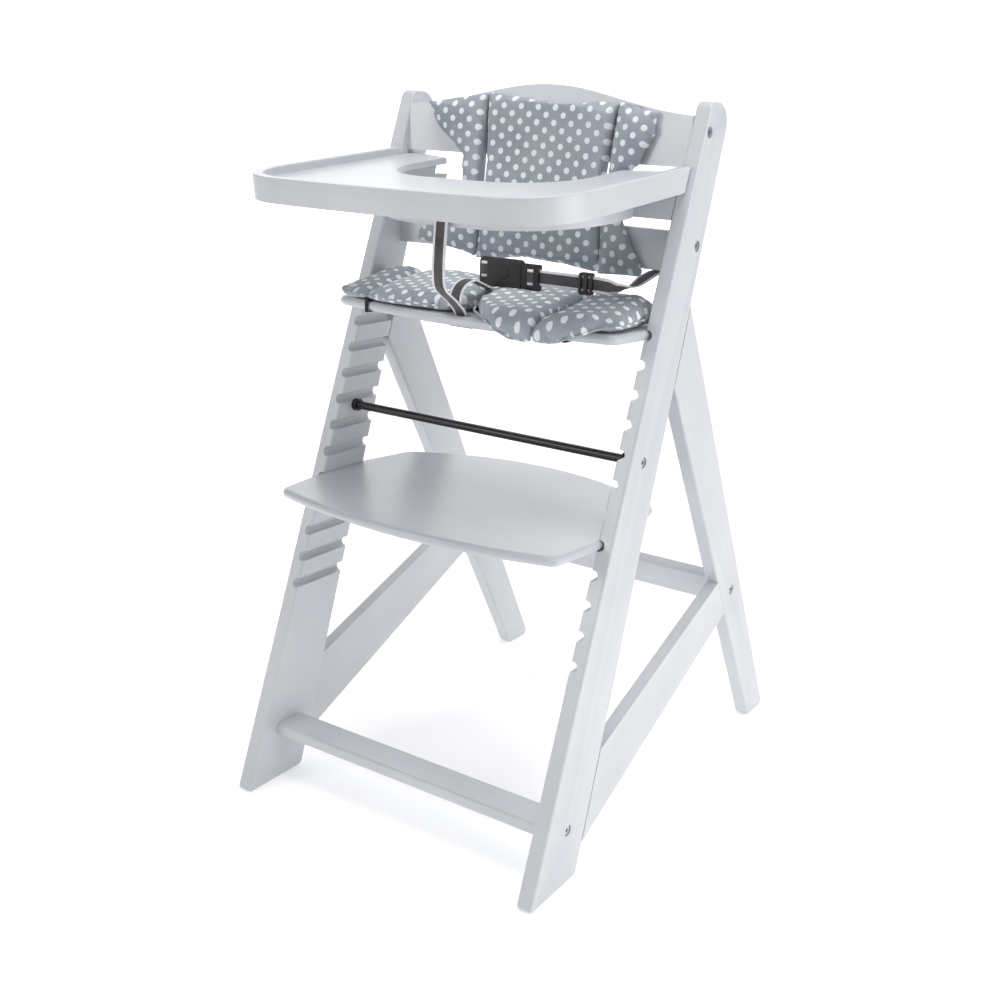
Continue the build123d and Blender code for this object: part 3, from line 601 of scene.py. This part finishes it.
# ---- Where things are, read from the frame ---------------------------------------------------
seat_low, seat_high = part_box("seat_board")
pad_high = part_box("seat_pad")[1]
back_low, back_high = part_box("back_pad")
board_low, board_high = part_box("lower_backrest_board")
top_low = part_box("top_backrest_board")[0]
guard_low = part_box("guard_bar")[0]
stop_low, stop_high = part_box("strap_stop_bar")
housing_low, housing_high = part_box("buckle_housing")
tongue_low, tongue_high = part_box("buckle_tongue")
adjuster_low, adjuster_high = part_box("strap_adjuster")
crotch_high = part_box("crotch_strap")[1]
waist_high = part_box("waist_strap")[1]

seat_top = seat_high[2]
seat_front = seat_low[1]
seat_bow = 0.028
seat_nose = 0.215
slot_y = (stop_low[1] + stop_high[1]) / 2


def seat_edge(x):
    """Front edge of the seat board at this x."""
    return seat_front + seat_bow * (x / seat_nose) ** 2


# ---- Seat pad --------------------------------------------------------------------------------
def on_seat(x, y, z):
    """Rests on the seat board, hangs over its front edge, and is plumper towards the back."""
    past = seat_edge(x) + 0.004 - y
    if past <= 0:
        share = min(1.0, -past / 0.110)
        plump = 1.0 + 0.7 * share * share * (3 - 2 * share)
        return Vector((x, y, seat_top + 0.0022 + z * plump))
    turn = min(past / 0.030, 1.0) * 0.95
    bend = 0.020
    forward = min(past, bend) * math.cos(turn * 0.5) + max(0.0, past - bend) * math.cos(turn)
    drop = min(past, bend) * math.sin(turn * 0.5) + max(0.0, past - bend) * math.sin(turn)
    normal = Vector((0, -math.sin(turn), math.cos(turn)))
    base = Vector((x, seat_edge(x) + 0.004 - forward, seat_top + 0.0022 - drop))
    return base + normal * z


rear_y = pad_high[1]
half_pad = pad_high[0]
left_seam = -0.150
right_seam = 0.124
gap = 0.0006
left_wing = [(-half_pad, seat_edge(half_pad) + 0.004), (-0.185, seat_edge(0.185) - 0.006),
             (left_seam - gap, seat_edge(left_seam) - 0.004), (left_seam - gap, rear_y),
             (-half_pad, rear_y - 0.006)]
left_front = [(left_seam + gap, seat_edge(left_seam) - 0.002), (-0.110, seat_edge(0.11) - 0.001),
              (-0.062, seat_edge(0.06) + 0.006), (-0.020, seat_edge(0) + 0.014),
              (-0.012, slot_y + 0.018), (-gap, slot_y + 0.028), (-gap, rear_y), (left_seam + gap, rear_y)]
right_front = [(gap, rear_y), (gap, slot_y + 0.028), (0.009, slot_y + 0.014),
               (0.018, seat_edge(0) + 0.014), (0.040, seat_edge(0.04) - 0.004),
               (0.070, seat_edge(0.07) - 0.020), (0.100, seat_edge(0.10) - 0.028),
               (right_seam - gap, seat_edge(right_seam) - 0.028), (right_seam - gap, rear_y)]
right_wing = [(right_seam + gap, rear_y), (right_seam + gap, seat_edge(right_seam) - 0.027),
              (0.155, seat_edge(0.155) - 0.026), (0.185, seat_edge(0.185) - 0.016),
              (half_pad, seat_edge(half_pad) + 0.012), (half_pad, rear_y - 0.006)]

SEAT_LOBES = {
    "seat_pad_left_wing": (left_wing, 1.0),
    "seat_pad_left": (left_front, 4.2),
    "seat_pad_right": (right_front, 7.7),
    "seat_pad_right_wing": (right_wing, 11.3),
}


def inset(outline, amount):
    """Outline moved inwards by a fixed amount, corner by corner."""
    moved = []
    count = len(outline)
    ahead = outline[1:] + outline[:1]
    area = sum(a[0] * b[1] - b[0] * a[1] for a, b in zip(outline, ahead))
    turn = 1.0 if area > 0 else -1.0
    for index in range(count):
        before = Vector(outline[index - 1])
        here = Vector(outline[index])
        after = Vector(outline[(index + 1) % count])
        first = (here - before).normalized()
        second = (after - here).normalized()
        normal = Vector((-first.y - second.y, first.x + second.x)) * turn
        if normal.length < 1e-6:
            normal = Vector((-first.y, first.x)) * turn
        normal.normalize()
        lean = max(0.5, normal.dot(Vector((-first.y, first.x)) * turn))
        moved.append(tuple(here + normal * amount / lean))
    return moved


for name, (outline, seed) in SEAT_LOBES.items():
    lobe = cushion(name, inset(outline, EDGE_INSET), 0.007, 0.003, on_seat, "seat", seed)
    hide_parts("seat_pad")
    piping(name, outline, on_seat, 0.0062, "seat")


# ---- Back pad --------------------------------------------------------------------------------
lean = (top_low[1] - board_low[1]) / (top_low[2] - board_low[2])
sag = 0.010
board_half = board_high[0]


def on_back(x, height, z):
    """Rests on the curved faces of the backrest boards, which lean back."""
    curve = sag * (1 - (x / board_half) ** 2)
    normal = Vector((0, -1, lean)).normalized()
    face_y = board_low[1] + lean * (height - board_low[2]) + curve
    return Vector((x, face_y, height)) + normal * (z + 0.0006)


back_bottom = back_low[2] - 0.004
back_top = back_high[2] + 0.003
back_left_seam, back_right_seam = -0.086, 0.115
back_centre = [(back_left_seam + gap, back_bottom), (back_right_seam - 0.010, back_bottom - 0.002),
               (back_right_seam - 0.004, (back_bottom + back_top) / 2),
               (back_right_seam - gap, back_top - 0.004), (0.02, back_top + 0.002),
               (back_left_seam + gap, back_top + 0.002)]
back_left = [(-0.184, back_bottom + 0.004), (back_left_seam - gap, back_bottom),
             (back_left_seam - gap, back_top + 0.001), (-0.184, back_top - 0.004),
             (-0.170, back_top - 0.040), (-0.133, back_top - 0.082), (-0.130, back_bottom + 0.078),
             (-0.158, back_bottom + 0.050), (-0.184, back_bottom + 0.018)]
back_right = [(back_right_seam - 0.008, back_bottom), (0.168, back_bottom - 0.004),
              (0.174, back_bottom + 0.004), (0.160, back_bottom + 0.034), (0.146, back_bottom + 0.068),
              (0.142, back_top - 0.100), (0.160, back_top - 0.078), (0.173, back_top - 0.040),
              (0.171, back_top - 0.012), (back_right_seam + gap, back_top - 0.004),
              (back_right_seam - 0.002, (back_bottom + back_top) / 2)]
BACK_LOBES = {
    "back_pad_centre": (back_centre, 21.0),
    "back_pad_left_wing": (back_left, 25.5),
    "back_pad_right_wing": (back_right, 28.1),
}
for name, (outline, seed) in BACK_LOBES.items():
    lobe = cushion(name, inset(outline, EDGE_INSET), 0.007, 0.004, on_back, "frame", seed)
    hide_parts("back_pad")


# ---- Straps ----------------------------------------------------------------------------------
ALONG_X = (1, 0, 0)
ALONG_Z = (0, 0, 1)
guard_front_y = guard_low[1]
top_z = crotch_high[2] - 0.001
tail = [Vector((0.0, guard_front_y + 0.018, top_z - 0.040)),
        Vector((0.0, guard_front_y + 0.0185, top_z - 0.008)),
        Vector((0.0, guard_front_y + 0.009, top_z - 0.0005)),
        Vector((0.0, guard_front_y + 0.001, top_z - 0.0035)),
        Vector((0.0, guard_front_y - 0.0022, top_z - 0.015)),
        Vector((0.0, guard_front_y - 0.004, top_z - 0.045)),
        Vector((0.0005, guard_front_y - 0.007, top_z - 0.075)),
        Vector((0.001, guard_front_y - 0.008, seat_top + 0.052)),
        Vector((0.001, guard_front_y - 0.003, seat_top + 0.036)),
        Vector((0.0005, (guard_front_y + slot_y) / 2 - 0.003, seat_top + 0.021)),
        Vector((0.0, slot_y - 0.008, seat_top + 0.008)),
        Vector((0.0, slot_y - 0.001, seat_top - 0.004)),
        Vector((0.0, slot_y, stop_high[2] - 0.0015))]
crotch = ribbon("crotch_webbing", tail, [ALONG_X] * len(tail), "frame")
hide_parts("crotch_strap")

buckle_y = (housing_low[1] + housing_high[1]) / 2
buckle_z = (housing_low[2] + housing_high[2]) / 2
link_x = 0.004
link_points = [Vector((-0.004, slot_y - 0.012, seat_top + 0.013)),
               Vector((-0.008, slot_y - 0.002, seat_top + 0.028)),
               Vector((-0.006, slot_y + 0.006, seat_top + 0.038)),
               Vector((-0.002, slot_y + 0.018, seat_top + 0.042)),
               Vector((0.000, slot_y + 0.032, seat_top + 0.037)),
               Vector((0.003, slot_y + 0.046, seat_top + 0.031)),
               Vector((link_x, buckle_y - 0.006, seat_top + 0.031)),
               Vector((link_x, buckle_y, housing_low[2] + 0.005))]
link_strap = ribbon("link_webbing", link_points, [ALONG_X] * len(link_points), "frame")
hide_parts("link_strap")

tongue_right = tongue_high[0]
hook_x = waist_high[0] - 0.010
under_z = board_low[2] - 0.0026
hook_y = waist_high[1] - 0.0012
front_face = board_low[1]
waist_points = [Vector((tongue_right - 0.014, buckle_y, buckle_z)),
                Vector((tongue_right + 0.006, buckle_y, buckle_z)),
                Vector((adjuster_low[0] - 0.008, buckle_y, buckle_z)),
                Vector((adjuster_high[0] + 0.003, buckle_y, buckle_z)),
                Vector((adjuster_high[0] + 0.016, buckle_y + 0.003, buckle_z - 0.001)),
                Vector((hook_x - 0.014, buckle_y + 0.012, buckle_z - 0.003)),
                Vector((hook_x - 0.002, buckle_y + 0.032, buckle_z - 0.002)),
                Vector((hook_x, front_face - 0.020, under_z - 0.005)),
                Vector((hook_x, front_face + 0.004, under_z - 0.0004)),
                Vector((hook_x, hook_y - 0.008, under_z)),
                Vector((hook_x, hook_y - 0.0055, under_z + 0.003)),
                Vector((hook_x, hook_y - 0.0040, under_z + 0.016)),
                Vector((hook_x, hook_y - 0.0022, waist_high[2] - 0.001))]
waist_sides = [ALONG_Z, ALONG_Z, ALONG_Z, (0.05, 0.0, 1), (0.30, 0.0, 1), (0.75, -0.1, 0.60),
               (0.98, 0.0, 0.20), ALONG_X, ALONG_X, ALONG_X, ALONG_X, ALONG_X, ALONG_X]
waist = ribbon("waist_webbing", waist_points, waist_sides, "buckle_clip")
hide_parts("waist_strap")


# ---- Sewing and the turns of tape round the buckle's bars ------------------------------------
def bar_turn(name, left, front, middle_z, body):
    """Short turn of tape that shows where a strap goes round a bar at the buckle's front."""
    bulge = [(0.0, 0.0016), (0.0022, -0.0006), (0.0050, -0.0011), (0.0078, -0.0006), (0.0100, 0.0016)]
    ribbon(name, [Vector((left + x, front + y, middle_z)) for x, y in bulge],
           [ALONG_Z] * len(bulge), body)


bar_turn("housing_turn", housing_low[0] + 0.003, housing_low[1], buckle_z + 0.004, "frame")
bar_turn("tongue_turn", tongue_high[0] - 0.017, tongue_low[1], buckle_z, "buckle_clip")

stitch_top = top_z - 0.058
stitch_rows = 14
zigzag = []
for row in range(stitch_rows + 1):
    drop = row / stitch_rows * 0.024
    side = 0.0052 if row % 2 else -0.0052
    zigzag.append(Vector((side, guard_front_y - 0.0065 - 0.055 * drop, stitch_top - drop)))
cord_line("crotch_stitching", zigzag, 0.00045, TAPE_THREAD, "frame")


# ---- Camera, floor and light -----------------------------------------------------------------
camera_data = bpy.data.cameras.new("camera")
camera_data.sensor_width = 36.0
camera_data.lens = 44.32
camera_data.shift_x = -0.0788
camera_data.shift_y = -0.0560
camera_data.clip_start = 0.05
camera_data.clip_end = 50.0
camera = bpy.data.objects.new("camera", camera_data)
bpy.context.scene.collection.objects.link(camera)
right = Vector((0.85149, 0.52233, 0.04615)).normalized()
ahead = Vector((-0.49526, 0.83003, -0.25646)).normalized()
up = right.cross(ahead).normalized()
right = ahead.cross(up).normalized()
turn = Matrix((right, up, -ahead)).transposed().to_4x4()
camera.matrix_world = Matrix.Translation(Vector((0.90881, -1.39254, 0.90807))) @ turn
bpy.context.scene.camera = camera

floor_mesh = bpy.data.meshes.new("floor")
floor_mesh.from_pydata([(-12, -12, 0), (12, -12, 0), (12, 12, 0), (-12, 12, 0)], [], [(0, 1, 2, 3)])
floor_mesh.materials.append(floor_material())
floor = bpy.data.objects.new("floor", floor_mesh)
bpy.context.scene.collection.objects.link(floor)
floor.location.z = -0.0005

world = bpy.data.worlds.new("studio")
world.use_nodes = True
world.node_tree.nodes["Background"].inputs["Color"].default_value = (1.0, 1.0, 1.0, 1)
world.node_tree.nodes["Background"].inputs["Strength"].default_value = 0.26
bpy.context.scene.world = world
bpy.context.scene.view_settings.view_transform = "Standard"


def soft_light(name, place, target, size, power):
    data = bpy.data.lights.new(name, "AREA")
    data.size = size
    data.energy = power
    lamp = bpy.data.objects.new(name, data)
    bpy.context.scene.collection.objects.link(lamp)
    lamp.location = place
    lamp.rotation_euler = (Vector(target) - Vector(place)).to_track_quat("-Z", "Y").to_euler()


def white_sheet(name, place, target, size, strength):
    """Lit studio backdrop seen behind the chair."""
    material, tree, shader = new_material(name)
    shader.inputs["Base Color"].default_value = (0.9, 0.9, 0.9, 1)
    shader.inputs["Roughness"].default_value = 0.9
    shader.inputs["Emission Color"].default_value = (1, 1, 1, 1)
    shader.inputs["Emission Strength"].default_value = strength
    half = size / 2
    sheet = mesh_object(name, [(-half, -half, 0), (half, -half, 0), (half, half, 0), (-half, half, 0)],
                        [(0, 1, 2, 3)], material, False)
    sheet.location = place
    sheet.rotation_euler = (Vector(target) - Vector(place)).to_track_quat("Z", "Y").to_euler()


white_sheet("backdrop", (-2.6, 4.2, 1.0), (0, 0, 0.5), 9.0, 1.0)
soft_light("key", (1.7, 0.1, 0.95), (0, 0, 0.5), 1.3, 14)
soft_light("fill", (-1.3, -2.3, 1.3), (0, -0.2, 0.6), 0.9, 15)
soft_light("top", (0.3, -0.3, 2.7), (0, 0, 0.4), 1.4, 32)
